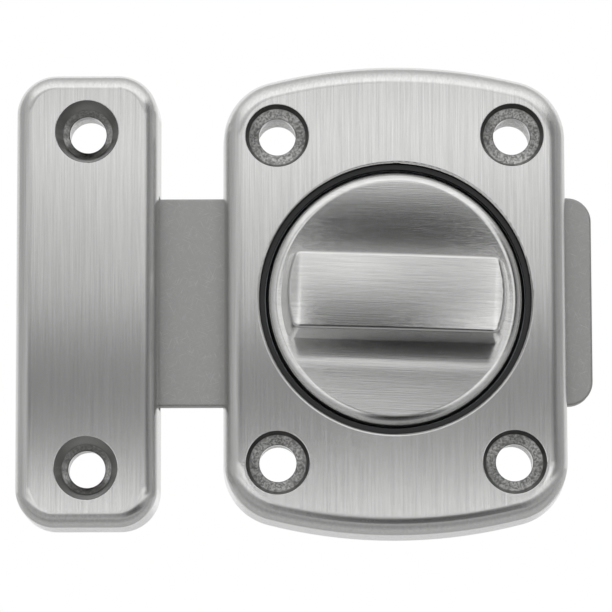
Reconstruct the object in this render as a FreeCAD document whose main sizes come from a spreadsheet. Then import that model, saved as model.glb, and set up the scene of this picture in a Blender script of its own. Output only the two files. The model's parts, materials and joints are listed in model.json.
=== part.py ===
import FreeCAD, Part

# Bathroom door latch: a turn knob in a screwed-on case slides a flat bolt into a separate keep.
# Units are millimetres. +X points from the keep to the bolt's tail, +Z is up and +Y points into
# the door, so the front is at -Y. The origin is on the face of the door, on the knob's axis.
# A "level" is a height above the face of the door, so it lies at y = -level.

import os
import re

import Sketcher

# Driving dimensions
# Every size that can be set by itself stands here once, with the reason for it.

SIZES = {
    # Bolt: a flat plate, driven by a pin in an upright slot
    "bolt_travel": 14.0,
    "bolt_thickness": 3.0,
    "bolt_level": 2.2,
    "bolt_tail": 3.85,
    "bolt_tail_corner": 3.3,
    "bolt_recess": 0.15,
    "bolt_edge": 0.3,
    "slot_web": 1.815,
    "slide_gap": 0.2,
    "slot_gap": 0.3,
    "mouth_gap": 0.4,
    # Drive disc, pin and screws behind the knob
    "disc_thickness": 1.4,
    "disc_edge": 2.6,
    "disc_lap": 1.6,
    "disc_bolt_gap": 0.8,
    "running_gap": 0.1,
    "pin_radius": 2.0,
    "pin_neck_radius": 1.5,
    "pin_gap": 0.12,
    "pin_end_gap": 0.4,
    "path_bow": 0.0298,
    "yoke_slack": 0.32,
    "knob_screw_offset": 8.0,
    "knob_screw_radius": 1.25,
    "knob_screw_head": 2.4,
    "knob_screw_length": 7.0,
    "pilot_spare": 0.5,
    "spigot_radius": 4.0,
    "spigot_depth": 0.85,
    "stop_half_width": 1.0,
    "stop_bite": 1.1,
    # Case: a cast cover with drafted sides and a shallow arch at its top and bottom
    "case_wall": 1.8,
    "case_draft": 0.4,
    "knob_web": 4.75,
    "arch_radius": 70.6,
    "case_corner": 8.2,
    "case_edge": 2.6,
    "knob_hole_edge": 0.35,
    # Countersunk holes for the wood screws that fix the case to the door
    "case_side_land": 0.3,
    "case_end_land": 2.85,
    "screw_bore_radius": 2.55,
    "sink_radius": 4.35,
    "sink_edge": 0.15,
    "case_sink_depth": 1.3,
    "case_sink_draft": 0.43,
    "case_seat_depth": 0.3,
    "bore_land": 1.8,
    "bore_relief": 0.25,
    "post_wall": 1.5,
    "post_lip_gap": 2.45,
    # Keep: a narrow cast box that takes the nose of the bolt
    "keep_gap": 9.3,
    "keep_width": 19.4,
    "keep_step": 1.1,
    "keep_wall": 1.8,
    "keep_draft": 0.2,
    "keep_corner": 5.5,
    "keep_edge": 2.2,
    "keep_end_land": 1.5,
    "keep_sink_depth": 2.4,
    "keep_sink_draft": 0.9,
    # Knob: a round casting with a well rounded rim, and a straight grip bar across it that stands
    # a few degrees past level when the bolt is out
    "knob_gap": 0.85,
    "knob_sink": 0.2,
    "rim_round": 1.8,
    "bar_reach": 7.8,
    "bar_height": 10.45,
    "bar_end_gap": 3.15,
    "bar_draft": 0.65,
    "bar_end_draft": 1.0,
    "bar_turn": 2.5,
    "bar_edge": 0.55,
    "bar_corner": 1.1,
    # Bearing ring: the black ring that the knob turns in
    "ring_flange": 0.5,
    "ring_sink": 0.9,
    "ring_fit": 0.1,
    # Back plate: a folded steel channel that closes the case and guides the bolt
    "plate_thickness": 1.2,
    "plate_gap": 0.2,
    "tongue_gap": 1.2,
    "tongue_end": 0.4,
    "plate_screw_spread": 13.0,
    "plate_screw_end": 8.9,
    "plate_screw_radius": 1.0,
    "plate_screw_head": 1.9,
    "plate_screw_length": 5.5,
    "plate_post_radius": 2.2,
    # Detents: two sprung balls that snap into dimples of the drive disc
    "ball_radius": 1.15,
    "ball_gap": 0.1,
    "cup_wall": 0.35,
    "cup_gap": 0.25,
    "cup_top_gap": 1.5,
    "coil_wire_radius": 0.18,
    "coil_gap": 0.1,
    "coil_pitch": 0.5,
    # Leaf spring that keeps the bolt from rattling
    "leaf_half_length": 11.0,
    "leaf_width": 6.0,
    "leaf_thickness": 0.3,
    "leaf_offset": 6.0,
    "leaf_seat": 3.0,
    "leaf_tip_drop": 0.15,
    "rivet_radius": 0.9,
    "rivet_head_radius": 1.7,
    "rivet_head_height": 0.35,
    # Cross recess in the heads of the small screws
    "cross_width": 0.5,
    "cross_depth": 0.5,
    "cross_share": 0.6,
    # How far a cutting tool runs past the face that it opens
    "overshoot": 1.0,
}

# Sizes that follow from the driving ones, as formulas in the same sheet. They go from the inside
# out: the bolt's travel sets the crank, the crank sets the slot and the bolt's height, the bolt
# sets the guides, the detents and the drive disc, and those set the knob and the case.

FORMULAS = {
    # Crank and slot: a quarter turn carries the pin from one side of the axis to the other, and
    # path_bow is the share of the crank by which its sine leaves a straight line
    "crank_radius": "bolt_travel / sqrt(2)",
    "crank_shift": "bolt_travel / 2",
    "slot_half_width": "pin_radius + pin_gap + crank_radius * path_bow",
    "slot_low": "crank_shift - yoke_slack",
    "slot_high": "crank_radius + yoke_slack",
    # Bolt and its guides
    "bolt_height": "2 * (slot_high + slot_half_width + slot_web)",
    "bolt_front": "bolt_level + bolt_thickness",
    "lip_bottom": "bolt_height / 2 + slide_gap",
    "lip_top": "lip_bottom + plate_thickness",
    "lip_level": "bolt_front + slide_gap",
    # Drive disc and detents
    "cup_radius": "ball_radius + ball_gap + cup_wall",
    "detent_radius": "lip_top + cup_gap + cup_radius",
    "disc_radius": "detent_radius + disc_edge",
    "disc_back": "bolt_front + disc_bolt_gap",
    "disc_front": "disc_back + disc_thickness",
    "ball_level": "disc_back - running_gap / 2 - ball_radius",
    "cup_top": "disc_back - cup_top_gap",
    "coil_radius": "cup_radius - cup_wall - coil_gap - coil_wire_radius",
    "coil_foot": "plate_thickness + cup_wall + coil_wire_radius",
    "coil_head": "ball_level - ball_radius - coil_wire_radius",
    "pin_end": "bolt_level + pin_end_gap",
    "stop_inner": "disc_radius - stop_bite",
    # Knob
    "knob_hole_radius": "disc_radius - disc_lap",
    "knob_radius": "knob_hole_radius - knob_gap",
    "bar_end_radius": "knob_radius - bar_end_gap",
    # Case
    "ceiling_level": "disc_front + running_gap + ring_flange",
    "case_depth": "ceiling_level + case_wall",
    "knob_level": "case_depth - knob_sink",
    "bar_level": "knob_level + bar_reach",
    "case_width": "2 * (knob_hole_radius + knob_web)",
    "post_radius": "screw_bore_radius + bore_relief + post_wall",
    "case_screw_side": "case_edge + case_side_land + sink_radius",
    "case_screw_end": "case_edge + case_end_land + sink_radius",
    "case_screw_spread": "case_width - 2 * case_screw_side",
    "case_screw_rise": "2 * (lip_top + post_lip_gap + post_radius)",
    "case_height": "case_screw_rise + 2 * case_screw_end",
    "case_step_level": "case_depth - case_sink_depth",
    "case_seat_level": "case_step_level - case_seat_depth",
    "case_throat": "sink_radius - case_sink_draft",
    "plate_screw_rise": "case_height - 2 * plate_screw_end",
    "tongue_half_width": "case_screw_spread / 2 - post_radius - tongue_gap",
    # Ends of the bolt
    "bolt_nose": "-(case_width / 2 + bolt_travel - bolt_recess)",
    "bolt_end": "case_width / 2 + bolt_tail",
    # Keep
    "keep_depth": "case_depth",
    "keep_height": "case_height - 2 * keep_step",
    "keep_side": "-(case_width / 2 + keep_gap)",
    "keep_middle": "keep_side - keep_width / 2",
    "keep_screw_end": "keep_edge + keep_end_land + sink_radius",
    "keep_screw_rise": "keep_height - 2 * keep_screw_end",
    "keep_ceiling": "keep_depth - keep_wall",
    "keep_throat": "sink_radius - keep_sink_draft",
    "keep_step_level": "keep_depth - keep_sink_depth",
    "keep_seat_level": "keep_step_level - keep_throat + screw_bore_radius",
}

doc = FreeCAD.newDocument("door_latch")
sheet = doc.addObject("Spreadsheet::Sheet", "Sizes")


def fill_sheet():
    """Write each size and each formula into its own named cell."""
    row = 1
    for name, size in SIZES.items():
        sheet.set("A%d" % row, name)
        sheet.set("B%d" % row, str(size))
        sheet.setAlias("B%d" % row, name)
        row += 1
    for name, text in FORMULAS.items():
        sheet.set("A%d" % row, name)
        sheet.set("B%d" % row, "=" + text)
        sheet.setAlias("B%d" % row, name)
        row += 1
    doc.recompute()


def size_of(text):
    """Work out a formula of size names as a number."""
    return float(sheet.evalExpression(text))


def formula(text):
    """Turn a formula in plain size names into one that reads the sheet."""
    names = set(SIZES) | set(FORMULAS)

    def with_sheet(found):
        word = found.group(0)
        return "Sizes." + word if word in names else word

    return re.sub(r"[A-Za-z_]+", with_sheet, str(text))


def bind(item, **properties):
    """Tie properties of an object to formulas of the sheet."""
    for name, text in properties.items():
        item.setExpression(name, formula(text))


def place(item, x="0", level="0", z="0"):
    """Tie an object's place to formulas; a level counts out from the door."""
    item.setExpression("Placement.Base.x", formula(x))
    item.setExpression("Placement.Base.y", formula("-(%s)" % level))
    item.setExpression("Placement.Base.z", formula(z))


def turn_to_front(item):
    """Turn a primitive that stands along +Z so that it stands out from the door."""
    towards_front = FreeCAD.Rotation(FreeCAD.Vector(1, 0, 0), 90)
    item.Placement = FreeCAD.Placement(FreeCAD.Vector(), towards_front)


def box(name, left, right, low, high, back, front):
    """A block between two formulas along X, along Z and out from the door."""
    item = doc.addObject("Part::Box", name)
    bind(item, Length="(%s) - (%s)" % (right, left), Height="(%s) - (%s)" % (high, low))
    bind(item, Width="(%s) - (%s)" % (front, back))
    place(item, left, front, low)
    return item


def drafted_box(name, left, right, low, high, front, draft):
    """A block that stands on the door, each side leaning out by the draft towards the door."""
    item = doc.addObject("Part::Wedge", name)
    bind(item, Xmin=left, Xmax=right, Zmin=low, Zmax=high, Ymin="-(%s)" % front, Ymax="0")
    bind(item, X2min="%s - %s" % (left, draft), X2max="%s + %s" % (right, draft))
    bind(item, Z2min="%s - %s" % (low, draft), Z2max="%s + %s" % (high, draft))
    return item


def cylinder(name, radius, back, front, x="0", z="0"):
    """A round bar that stands out from the door between two levels."""
    item = doc.addObject("Part::Cylinder", name)
    turn_to_front(item)
    bind(item, Radius=radius, Height="(%s) - (%s)" % (front, back))
    place(item, x, back, z)
    return item


def cone(name, back_radius, front_radius, back, front, x="0", z="0"):
    """A tapered bar that stands out from the door between two levels."""
    item = doc.addObject("Part::Cone", name)
    turn_to_front(item)
    bind(item, Radius1=back_radius, Radius2=front_radius, Height="(%s) - (%s)" % (front, back))
    place(item, x, back, z)
    return item


def ball(name, radius, level, x="0", z="0"):
    """A ball with its centre at a level above the door."""
    item = doc.addObject("Part::Sphere", name)
    bind(item, Radius=radius)
    place(item, x, level, z)
    return item


def joined(name, shapes):
    """One solid from several that touch or overlap."""
    item = doc.addObject("Part::MultiFuse", name)
    item.Shapes = shapes
    return item


def shared(name, shapes):
    """What several solids have in common."""
    item = doc.addObject("Part::MultiCommon", name)
    item.Shapes = shapes
    return item


def cut(name, base, tools):
    """The base with every tool taken away from it."""
    tool = tools[0] if len(tools) == 1 else joined(name + "_tools", tools)
    item = doc.addObject("Part::Cut", name)
    item.Base = base
    item.Tool = tool
    return item


def rounded(name, base, radius, chosen):
    """Fillet the edges of the base for which chosen(edge) is true."""
    doc.recompute()
    size = size_of(radius)
    edges = [(number, size, size) for number, edge in enumerate(base.Shape.Edges, 1) if chosen(edge)]
    item = doc.addObject("Part::Fillet", name)
    item.Base = base
    item.Edges = edges
    doc.recompute()
    return item


def box_of(edge):
    """The corners of an edge's own box, tight to its curve."""
    return edge.optimalBoundingBox(False, False)


# How near two lengths are that count as equal, and the most that an edge with only a draft leans
# from square, as a share of its length

NEAR = 0.01
MOST_LEAN = 0.2


def runs_out_from_door(edge):
    """True for an edge that is square to the face of the door, but for its draft."""
    around = box_of(edge)
    most = MOST_LEAN * around.YLength
    return around.XLength < most and around.ZLength < most


def lies_at(level):
    """A test that is true for an edge that lies wholly at one level."""
    depth = size_of(level)

    def test(edge):
        around = box_of(edge)
        return abs(around.YMin + depth) < NEAR and abs(around.YMax + depth) < NEAR

    return test


def reaches_to(text, edge):
    """True for an edge whose far end in X is where the formula says."""
    return abs(box_of(edge).XMax - size_of(text)) < NEAR


# Screw places, as formulas

CASE_SCREWS = [
    ("%s case_screw_spread / 2" % side, "%s case_screw_rise / 2" % rise)
    for side in "-+" for rise in "-+"
]
PLATE_SCREWS = [
    ("%s plate_screw_spread / 2" % side, "%s plate_screw_rise / 2" % rise)
    for side in "-+" for rise in "-+"
]
KEEP_SCREWS = [("keep_middle", "%s keep_screw_rise / 2" % rise) for rise in "-+"]


def arched_block(name, inset, front, edge):
    """The case's own form: drafted sides, an arc for its top and its bottom, and rounded corners."""
    block = drafted_box(
        name + "_block",
        "-case_width / 2 + %s" % inset, "case_width / 2 - %s" % inset,
        "-case_height / 2 + %s" % inset, "case_height / 2 - %s" % inset,
        front, "case_draft",
    )
    radius = "arch_radius - %s" % inset
    foot = "%s + case_draft" % radius
    top_arch = cone(name + "_top_arch", foot, radius, "0", front, z="case_height / 2 - arch_radius")
    low_arch = cone(name + "_low_arch", foot, radius, "0", front, z="arch_radius - case_height / 2")
    outline = shared(name + "_outline", [block, top_arch, low_arch])
    corners = rounded(name + "_corners", outline, "case_corner - %s" % inset, runs_out_from_door)
    return rounded(name + "_rounded", corners, edge, lies_at(front))


def screw_tools(part, number, x, z):
    """The sunk step, the seat, the bore and the wider relief behind it, for one wood screw."""
    name = "%s_screw_%d" % (part, number)
    front = part + "_depth"
    step = part + "_step_level"
    seat = part + "_seat_level"
    throat = part + "_throat"
    relief = "screw_bore_radius + bore_relief"
    return [
        cone(name + "_step", throat, "sink_radius", step, front, x, z),
        cone(name + "_seat", "screw_bore_radius", throat, seat, step, x, z),
        cylinder(name + "_bore", "screw_bore_radius", "-overshoot", front + " + overshoot", x, z),
        cylinder(name + "_relief", relief, "-overshoot", seat + " - bore_land", x, z),
    ]


def is_sink_edge(front):
    """A test that is true for the round edge of a screw's step at the front."""
    at_front = lies_at(front)
    across = size_of("2 * sink_radius")

    def test(edge):
        around = box_of(edge)
        return at_front(edge) and abs(around.XLength - across) < NEAR and abs(around.ZLength - across) < NEAR

    return test


def make_case():
    """Case: a cast shell with screw posts, a stop lug, a slot for the bolt and the knob's hole."""
    outside = arched_block("case_outside", "0", "case_depth", "case_edge")
    hollow = arched_block("case_hollow", "case_wall", "ceiling_level", "case_edge - case_wall")
    shell = cut("case_shell", outside, [hollow])
    in_front_wall = "ceiling_level + case_wall / 4"
    posts = []
    for number, (x, z) in enumerate(CASE_SCREWS, 1):
        posts.append(cylinder("case_post_%d" % number, "post_radius", "0", in_front_wall, x, z))
    for number, (x, z) in enumerate(PLATE_SCREWS, 1):
        name = "plate_post_%d" % number
        posts.append(cylinder(name, "plate_post_radius", "plate_thickness", in_front_wall, x, z))
    stop = box(
        "case_stop",
        "stop_inner + running_gap * 2", "case_width / 2 - case_wall / 2",
        "-stop_half_width", "stop_half_width",
        "disc_back", in_front_wall,
    )
    solid = joined("case_solid", [shell, stop] + posts)
    tools = [cylinder("knob_hole", "knob_hole_radius", "ceiling_level - overshoot", "case_depth + overshoot")]
    for number, (x, z) in enumerate(CASE_SCREWS, 1):
        tools += screw_tools("case", number, x, z)
    for number, (x, z) in enumerate(PLATE_SCREWS, 1):
        deep = "plate_screw_length + pilot_spare"
        tools.append(cylinder("case_pilot_%d" % number, "plate_screw_radius", "-overshoot", deep, x, z))
    tools.append(box(
        "case_bolt_slot",
        "-case_width", "case_width",
        "-(bolt_height / 2 + slot_gap)", "bolt_height / 2 + slot_gap",
        "bolt_level - slide_gap", "bolt_front + slide_gap",
    ))
    pierced = cut("case_pierced", solid, tools)
    at_front = lies_at("case_depth")

    def is_hole_edge(edge):
        return at_front(edge) and reaches_to("knob_hole_radius", edge)

    eased = rounded("case_hole_eased", pierced, "knob_hole_edge", is_hole_edge)
    return rounded("case", eased, "sink_edge", is_sink_edge("case_depth"))


def keep_block(name, inset, front, edge):
    """The keep's own form: a drafted block with rounded corners."""
    solid = drafted_box(
        name + "_block",
        "keep_middle - keep_width / 2 + %s" % inset, "keep_middle + keep_width / 2 - %s" % inset,
        "-keep_height / 2 + %s" % inset, "keep_height / 2 - %s" % inset,
        front, "keep_draft",
    )
    corners = rounded(name + "_corners", solid, "keep_corner - %s" % inset, runs_out_from_door)
    return rounded(name + "_rounded", corners, edge, lies_at(front))


def make_keep():
    """Keep: a cast box, open at its back, with two screw posts and a mouth for the bolt."""
    outside = keep_block("keep_outside", "0", "keep_depth", "keep_edge")
    hollow = keep_block("keep_hollow", "keep_wall", "keep_ceiling", "keep_edge - keep_wall")
    shell = cut("keep_shell", outside, [hollow])
    in_front_wall = "keep_ceiling + keep_wall / 4"
    posts = []
    for number, (x, z) in enumerate(KEEP_SCREWS, 1):
        posts.append(cylinder("keep_post_%d" % number, "sink_radius + post_wall", "0", in_front_wall, x, z))
    mouth = "bolt_height / 2 + mouth_gap"
    ribs = (("upper", mouth, mouth + " + keep_wall"), ("lower", "-(%s) - keep_wall" % mouth, "-(%s)" % mouth))
    for which, low, high in ribs:
        posts.append(box(
            "keep_rib_" + which,
            "keep_middle - keep_width / 2 + keep_wall / 2", "keep_middle + keep_width / 2 - keep_wall / 2",
            low, high, "0", in_front_wall,
        ))
    solid = joined("keep_solid", [shell] + posts)
    tools = []
    for number, (x, z) in enumerate(KEEP_SCREWS, 1):
        tools += screw_tools("keep", number, x, z)
    tools.append(box(
        "keep_mouth",
        "keep_side - keep_wall - overshoot", "keep_side + overshoot",
        "-(%s)" % mouth, mouth,
        "bolt_level - mouth_gap", "bolt_front + mouth_gap",
    ))
    pierced = cut("keep_pierced", solid, tools)
    return rounded("keep", pierced, "sink_edge", is_sink_edge("keep_depth"))


def small_screw(name, x, z, head, head_radius, shank_radius, length):
    """A small countersunk screw: its head's flat face at one level, its shank going towards the front."""
    sink = "%s + %s - %s" % (head, head_radius, shank_radius)
    taper = cone(name + "_head", head_radius, shank_radius, head, sink, x, z)
    shank = cylinder(name + "_shank", shank_radius, head, "%s + %s" % (head, length), x, z)
    body = joined(name + "_blank", [taper, shank])
    arm = "%s * cross_share" % head_radius
    half = "cross_width / 2"
    deep = "%s + cross_depth" % head
    open_end = "%s - overshoot" % head
    tools = [
        box(name + "_cross_level", "%s - %s" % (x, arm), "%s + %s" % (x, arm),
            "%s - %s" % (z, half), "%s + %s" % (z, half), open_end, deep),
        box(name + "_cross_upright", "%s - %s" % (x, half), "%s + %s" % (x, half),
            "%s - %s" % (z, arm), "%s + %s" % (z, arm), open_end, deep),
    ]
    return cut(name, body, tools)


def make_back_plate():
    """Back plate: folded steel that closes the case, its two lips guiding the bolt."""
    side = "case_width / 2 - case_wall - plate_gap"
    tongue = "plate_screw_rise / 2 + plate_post_radius + tongue_end"
    wide_top = "case_screw_rise / 2 - post_radius - plate_gap"
    blank = [
        box("plate_wide", "-(%s)" % side, side, "-(%s)" % wide_top, wide_top, "0", "plate_thickness"),
        box("plate_tongue", "-tongue_half_width", "tongue_half_width", "-(%s)" % tongue, tongue,
            "0", "plate_thickness"),
        box("plate_upper_lip", "-(%s)" % side, side, "lip_bottom", "lip_top", "0", "lip_level"),
        box("plate_lower_lip", "-(%s)" % side, side, "-lip_top", "-lip_bottom", "0", "lip_level"),
    ]
    body = joined("plate_blank", blank)
    through = "plate_thickness + overshoot"
    tools = []
    for number, (x, z) in enumerate(PLATE_SCREWS, 1):
        tools.append(cylinder("plate_hole_%d" % number, "plate_screw_radius", "-overshoot", through, x, z))
        sink = "plate_screw_head - plate_screw_radius"
        tools.append(cone("plate_sink_%d" % number, "plate_screw_head", "plate_screw_radius", "0", sink, x, z))
    sink = "rivet_head_radius - rivet_radius"
    tools.append(cylinder("plate_rivet_hole", "rivet_radius", "-overshoot", through, z="-leaf_offset"))
    tools.append(cone("plate_rivet_sink", "rivet_head_radius", "rivet_radius", "0", sink, z="-leaf_offset"))
    return cut("back_plate", body, tools)


def sketch_on(body, name, role, offset="0"):
    """A sketch on one of the body's own origin planes, moved out along its normal."""
    sketch = body.newObject("Sketcher::SketchObject", name)
    plane = [item for item in body.Origin.OriginFeatures if item.Role == role][0]
    sketch.AttachmentSupport = (plane, "")
    sketch.MapMode = "FlatFace"
    sketch.setExpression("AttachmentOffset.Base.z", formula(offset))
    return sketch


def closed_outline(sketch, points):
    """Straight lines through points; each point's two distances from the origin are formulas."""
    start = [FreeCAD.Vector(size_of(x), size_of(y), 0) for x, y in points]
    first = sketch.GeometryCount
    count = len(points)
    for number in range(count):
        sketch.addGeometry(Part.LineSegment(start[number], start[(number + 1) % count]))
    for number in range(count):
        following = first + (number + 1) % count
        sketch.addConstraint(Sketcher.Constraint("Coincident", first + number, 2, following, 1))
    for number, (x, y) in enumerate(points):
        for kind, text, letter in (("DistanceX", x, "x"), ("DistanceY", y, "y")):
            size = size_of(text)
            order = (-1, 1, first + number, 1) if size >= 0 else (first + number, 1, -1, 1)
            signed = text if size >= 0 else "-(%s)" % text
            label = "p%d%s" % (first + number, letter)
            index = sketch.addConstraint(Sketcher.Constraint(kind, *order, abs(size)))
            sketch.renameConstraint(index, label)
            sketch.setExpression("Constraints." + label, formula(signed))


def round_outline(sketch, radius, x="0", y="0"):
    """A circle whose centre and radius are formulas."""
    centre = FreeCAD.Vector(size_of(x), size_of(y), 0)
    circle = sketch.addGeometry(Part.Circle(centre, FreeCAD.Vector(0, 0, 1), size_of(radius)))
    index = sketch.addConstraint(Sketcher.Constraint("Radius", circle, size_of(radius)))
    sketch.renameConstraint(index, "radius%d" % circle)
    sketch.setExpression("Constraints.radius%d" % circle, formula(radius))
    for kind, text, letter in (("DistanceX", x, "x"), ("DistanceY", y, "y")):
        size = size_of(text)
        order = (-1, 1, circle, 3) if size >= 0 else (circle, 3, -1, 1)
        signed = text if size >= 0 else "-(%s)" % text
        label = "c%d%s" % (circle, letter)
        index = sketch.addConstraint(Sketcher.Constraint(kind, *order, abs(size)))
        sketch.renameConstraint(index, label)
        sketch.setExpression("Constraints." + label, formula(signed))


def slot_tools():
    """The upright slot of the bolt: two round ends and the straight part between them."""
    back = "bolt_level - overshoot"
    front = "bolt_front + overshoot"
    return [
        cylinder("slot_low_end", "slot_half_width", back, front, "-crank_shift", "slot_low"),
        cylinder("slot_high_end", "slot_half_width", back, front, "-crank_shift", "slot_high"),
        box("slot_middle", "-crank_shift - slot_half_width", "-crank_shift + slot_half_width",
            "slot_low", "slot_high", back, front),
    ]


def make_bolt():
    """Bolt: a flat plate with a rounded tail and an upright slot for the drive pin."""
    body = doc.addObject("PartDesign::Body", "bolt_blank")
    outline = sketch_on(body, "bolt_outline", "XZ_Plane", "bolt_level")
    closed_outline(outline, [
        ("bolt_nose", "-bolt_height / 2"),
        ("bolt_end", "-bolt_height / 2"),
        ("bolt_end", "bolt_height / 2"),
        ("bolt_nose", "bolt_height / 2"),
    ])
    pad = body.newObject("PartDesign::Pad", "bolt_plate")
    pad.Profile = outline
    bind(pad, Length="bolt_thickness")
    doc.recompute()

    def is_tail_corner(edge):
        return runs_out_from_door(edge) and reaches_to("bolt_end", edge)

    tail = fillet_in(body, "bolt_tail_corners", pad, "bolt_tail_corner", is_tail_corner)
    front = lies_at("bolt_front")
    back = lies_at("bolt_level")
    fillet_in(body, "bolt_edges", tail, "bolt_edge", lambda edge: front(edge) or back(edge))
    return cut("bolt", body, slot_tools())


def fillet_in(body, name, base, radius, chosen):
    """Fillet a body's last feature on the edges for which chosen(edge) is true."""
    doc.recompute()
    names = ["Edge%d" % number for number, edge in enumerate(base.Shape.Edges, 1) if chosen(edge)]
    item = body.newObject("PartDesign::Fillet", name)
    item.Base = (base, names)
    bind(item, Radius=radius)
    doc.recompute()
    return item


def revolved(name, points):
    """A body turned about the knob's axis; each point is a radius and a level."""
    body = doc.addObject("PartDesign::Body", name)
    sketch = sketch_on(body, name + "_profile", "XY_Plane")
    closed_outline(sketch, [(radius, "-(%s)" % level) for radius, level in points])
    turn = body.newObject("PartDesign::Revolution", name + "_turned")
    turn.Profile = sketch
    turn.ReferenceAxis = (sketch, ["V_Axis"])
    turn.Angle = 360
    doc.recompute()
    return body, turn


def make_turn_knob():
    """Turn knob: a round casting with a well rounded rim and a straight grip bar."""
    body, turn = revolved("knob_round", [
        ("0", "disc_front - spigot_depth"),
        ("spigot_radius", "disc_front - spigot_depth"),
        ("spigot_radius", "disc_front"),
        ("knob_radius", "disc_front"),
        ("knob_radius", "knob_level"),
        ("0", "knob_level"),
    ])
    fillet_in(body, "knob_rim_round", turn, "rim_round", lies_at("knob_level"))
    grip = make_grip_bar()
    solid = joined("knob_solid", [body, grip])
    tools = []
    for number, side in enumerate("-+", 1):
        x = "%s knob_screw_offset" % side
        deep = "disc_back + knob_screw_length + pilot_spare"
        tools.append(cylinder("knob_pilot_%d" % number, "knob_screw_radius", "disc_front - overshoot", deep, x))
    return cut("turn_knob", solid, tools)


def make_grip_bar():
    """Grip bar: drafted all round, with ends that are arcs about the knob's axis."""
    half = "bar_height / 2"
    lean = "bar_draft * bar_level / bar_reach"
    block = drafted_box("bar_block", "-knob_radius", "knob_radius", "-(%s)" % half, half, "bar_level", lean)
    block.setExpression("Placement.Rotation.Axis.y", "1")
    block.setExpression("Placement.Rotation.Angle", formula("bar_turn"))
    foot = "knob_level - overshoot / 2"
    foot_radius = "bar_end_radius + bar_end_draft * (bar_level - (%s)) / bar_reach" % foot
    ends = cone("bar_ends", foot_radius, "bar_end_radius", foot, "bar_level")
    bar = shared("bar_plain", [block, ends])
    corners = rounded("bar_corners", bar, "bar_corner", runs_out_from_door)
    return rounded("grip_bar", corners, "bar_edge", lies_at("bar_level"))


def make_drive_disc():
    """Drive disc: the stamped disc behind the case's front that holds the knob in and carries the pin."""
    body = doc.addObject("PartDesign::Body", "disc_blank")
    outline = sketch_on(body, "disc_outline", "XZ_Plane", "disc_back")
    round_outline(outline, "disc_radius")
    pad = body.newObject("PartDesign::Pad", "disc_plate")
    pad.Profile = outline
    bind(pad, Length="disc_thickness")
    holes = sketch_on(body, "disc_holes", "XZ_Plane", "disc_back")
    round_outline(holes, "spigot_radius + running_gap / 2")
    round_outline(holes, "pin_neck_radius", "-crank_shift", "crank_shift")
    pocket = body.newObject("PartDesign::Pocket", "disc_pierced")
    pocket.Profile = holes
    pocket.Type = "ThroughAll"
    pocket.Midplane = True
    doc.recompute()
    body.Tip = pocket
    doc.recompute()
    tools = []
    for number, side in enumerate("-+", 1):
        x = "%s knob_screw_offset" % side
        sink = "disc_back + knob_screw_head - knob_screw_radius"
        through = "disc_front + overshoot"
        tools.append(cone("disc_sink_%d" % number, "knob_screw_head", "knob_screw_radius", "disc_back", sink, x))
        hole = "knob_screw_radius + running_gap / 2"
        tools.append(cylinder("disc_hole_%d" % number, hole, "disc_back", through, x))
    for number, (x, z) in enumerate((("1", "0"), ("0", "1"), ("-1", "0"), ("0", "-1")), 1):
        tools.append(ball("disc_dimple_%d" % number, "ball_radius + running_gap", "ball_level",
                          "detent_radius * " + x, "detent_radius * " + z))
    tools.append(make_stop_notch())
    return cut("drive_disc", body, tools)


def make_stop_notch():
    """The notch in the disc's edge that runs against the stop lug: a quarter turn and the lug's width."""
    back = "disc_back - overshoot"
    front = "disc_front + overshoot"
    outer = cylinder("notch_outer", "disc_radius + overshoot", back, front)
    inner = cylinder("notch_inner", "stop_inner", back, front)
    ring = cut("notch_ring", outer, [inner])
    near = "-(stop_half_width + running_gap)"
    far = "disc_radius + 2 * overshoot"
    quarter = box("notch_quarter", near, far, near, far, back, front)
    return shared("disc_stop_notch", [ring, quarter])


def make_drive_pin():
    """Drive pin: a shouldered pin riveted into the disc, running in the bolt's slot."""
    stem = cylinder("pin_stem", "pin_radius", "pin_end", "disc_back", "-crank_shift", "crank_shift")
    neck = cylinder("pin_neck", "pin_neck_radius", "pin_end", "disc_front", "-crank_shift", "crank_shift")
    return joined("drive_pin", [stem, neck])


def make_bearing_ring():
    """Bearing ring: the black flanged ring that the knob and the disc run in."""
    foot = "ceiling_level - ring_flange"
    tube = cylinder("ring_tube", "knob_hole_radius - ring_fit", foot, "case_depth - ring_sink")
    flange = cylinder("ring_flange_disc", "stop_inner - running_gap", foot, "ceiling_level")
    blank = joined("ring_blank", [tube, flange])
    bore = cylinder("ring_bore", "knob_radius + running_gap", foot + " - overshoot", "case_depth + overshoot")
    return cut("bearing_ring", blank, [bore])


def make_detent(which, side):
    """Detent: a cup on the back plate with a coil spring that pushes a ball at the disc."""
    z = "%s detent_radius" % side
    wall = cylinder("cup_blank_" + which, "cup_radius", "plate_thickness", "cup_top", z=z)
    well = cylinder("cup_well_" + which, "cup_radius - cup_wall", "plate_thickness + cup_wall",
                    "cup_top + overshoot", z=z)
    cut("detent_cup_" + which, wall, [well])
    ball("detent_ball_" + which, "ball_radius", "ball_level", z=z)
    coil = doc.addObject("Part::Helix", "coil_path_" + which)
    turn_to_front(coil)
    bind(coil, Radius="coil_radius", Pitch="coil_pitch", Height="coil_head - coil_foot")
    place(coil, "0", "coil_foot", z)
    wire = doc.addObject("Part::Circle", "coil_section_" + which)
    bind(wire, Radius="coil_wire_radius")
    place(wire, "coil_radius", "coil_foot", z)
    doc.recompute()
    spring = doc.addObject("Part::Sweep", "detent_spring_" + which)
    spring.Sections = [wire]
    spring.Spine = (coil, ["Edge%d" % number for number in range(1, len(coil.Shape.Edges) + 1)])
    spring.Solid = True
    spring.Frenet = True
    return spring


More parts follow.
